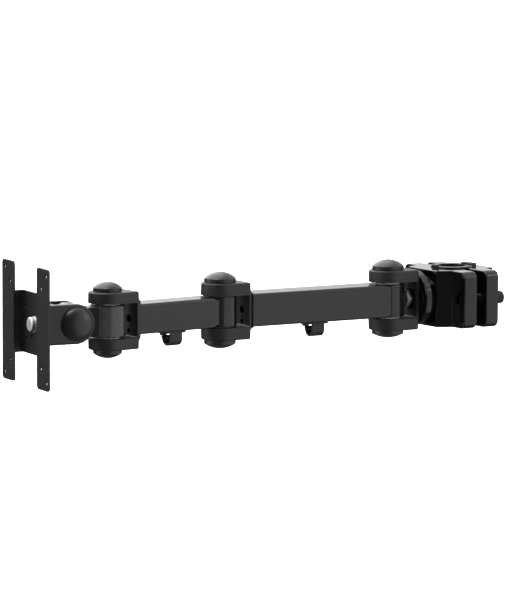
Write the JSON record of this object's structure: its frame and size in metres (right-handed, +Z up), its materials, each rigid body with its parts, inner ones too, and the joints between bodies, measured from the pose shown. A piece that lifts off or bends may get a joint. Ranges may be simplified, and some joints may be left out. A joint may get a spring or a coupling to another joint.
{
  "type": "monitor arm",
  "caption": "Two-section swivel monitor arm with a tilting screen plate and a two-part clamp for an upright pole.",
  "frame": {"origin": "on the pole's axis at the middle of the clamp's height", "axes": "+Z up along the pole, -X towards the screen, so the screen plate's face is square to X at rest"},
  "size_m": [0.5143, 0.1593, 0.114],
  "materials": {
    "gloss_casting": "glossy black paint on a casting",
    "satin_paint": "satin black powder coat",
    "tube_paint": "semi-gloss black paint",
    "moulded_cover": "fine-textured black moulding",
    "liner_plastic": "smooth black moulding",
    "bush_plastic": "natural nylon",
    "zinc_steel": "bright zinc plate",
    "black_steel": "black oxide"
  },
  "bodies": {
    "clamp": {"clamp_body": "gloss_casting", "clamp_disc": "gloss_casting", "clamp_fork_bolt": "zinc_steel", "clamp_fork_washer": "black_steel", "pole_liner_inner": "liner_plastic", "clamp_fork": "satin_paint", "clamp_cover_upper": "moulded_cover", "clamp_cover_lower": "moulded_cover", "clamp_cap_upper": "moulded_cover", "clamp_cap_lower": "moulded_cover", "clamp_pivot_bolt": "zinc_steel", "clamp_pivot_nut": "zinc_steel", "clamp_pivot_washers": "zinc_steel"},
    "jaw": {"clamp_jaw": "gloss_casting", "pole_liner_outer": "liner_plastic", "clamp_screw_washers": "black_steel"},
    "screw_near": {"clamp_screw_near": "black_steel"},
    "screw_far": {"clamp_screw_far": "black_steel"},
    "rear_arm": {"rear_tube": "tube_paint", "rear_barrel": "tube_paint", "rear_bushes": "bush_plastic", "rear_cable_clip": "moulded_cover", "rear_clip_screw": "black_steel", "rear_fork": "satin_paint", "rear_cover_upper": "moulded_cover", "rear_cover_lower": "moulded_cover", "rear_cap_upper": "moulded_cover", "rear_cap_lower": "moulded_cover", "rear_pivot_bolt": "zinc_steel", "rear_pivot_nut": "zinc_steel", "rear_pivot_washers": "zinc_steel"},
    "front_arm": {"front_tube": "tube_paint", "front_barrel": "tube_paint", "front_bushes": "bush_plastic", "front_cable_clip": "moulded_cover", "front_clip_screw": "black_steel", "front_fork": "satin_paint", "front_cover_upper": "moulded_cover", "front_cover_lower": "moulded_cover", "front_cap_upper": "moulded_cover", "front_cap_lower": "moulded_cover", "front_pivot_bolt": "zinc_steel", "front_pivot_nut": "zinc_steel", "front_pivot_washers": "zinc_steel"},
    "swivel": {"swivel_block": "gloss_casting", "swivel_bushes": "bush_plastic", "tilt_bushes": "bush_plastic"},
    "tilt": {"tilt_yoke": "satin_paint", "tilt_bolt": "zinc_steel", "tilt_nut": "zinc_steel", "tilt_washers": "zinc_steel", "tilt_cap_near": "moulded_cover", "tilt_cap_far": "moulded_cover"},
    "plate": {"vesa_plate": "satin_paint", "plate_bolt": "zinc_steel", "plate_washer": "zinc_steel", "plate_nut": "zinc_steel", "plate_friction_disc": "liner_plastic"}
  },
  "joints": [
    {"name": "rear_arm_swivel", "type": "hinge", "parent": "clamp", "child": "rear_arm", "pos_m": [-0.07556, -0.00981, 0], "axis": [0, 0, 1], "range_deg": [-87.1, 92.9]},
    {"name": "front_arm_swivel", "type": "hinge", "parent": "rear_arm", "child": "front_arm", "pos_m": [-0.26458, -0.02469, 0], "axis": [0, 0, 1], "range_deg": [-96.3, 83.7]},
    {"name": "head_swivel", "type": "hinge", "parent": "front_arm", "child": "swivel", "pos_m": [-0.39316, -0.04922, 0], "axis": [0, 0, 1], "range_deg": [-79.2, 100.8]},
    {"name": "head_tilt", "type": "hinge", "parent": "swivel", "child": "tilt", "pos_m": [-0.43266, -0.04922, 0], "axis": [0, 1, 0], "range_deg": [-45, 45]},
    {"name": "plate_turn", "type": "hinge", "parent": "tilt", "child": "plate", "pos_m": [-0.47746, -0.04922, 0], "axis": [1, 0, 0], "continuous": true},
    {"name": "jaw_slide", "type": "slide", "parent": "clamp", "child": "jaw", "axis": [0.9917, 0.1288, 0], "range_m": [0, 0.006]},
    {"name": "screw_turn", "type": "hinge", "parent": "jaw", "child": "screw_near", "pos_m": [0.03801, -0.03641, 0], "axis": [0.9917, 0.1288, 0], "range_deg": [0, 1441]},
    {"name": "screw_far_turn", "type": "hinge", "parent": "jaw", "child": "screw_far", "pos_m": [0.02745, 0.04491, 0], "axis": [0.9917, 0.1288, 0], "range_deg": [0, 1441]}
  ],
  "couplings": [
    {"joint": "screw_turn", "follows": "jaw_slide", "rad_per_m": 4188.8},
    {"joint": "screw_far_turn", "follows": "jaw_slide", "rad_per_m": 4188.8}
  ]
}
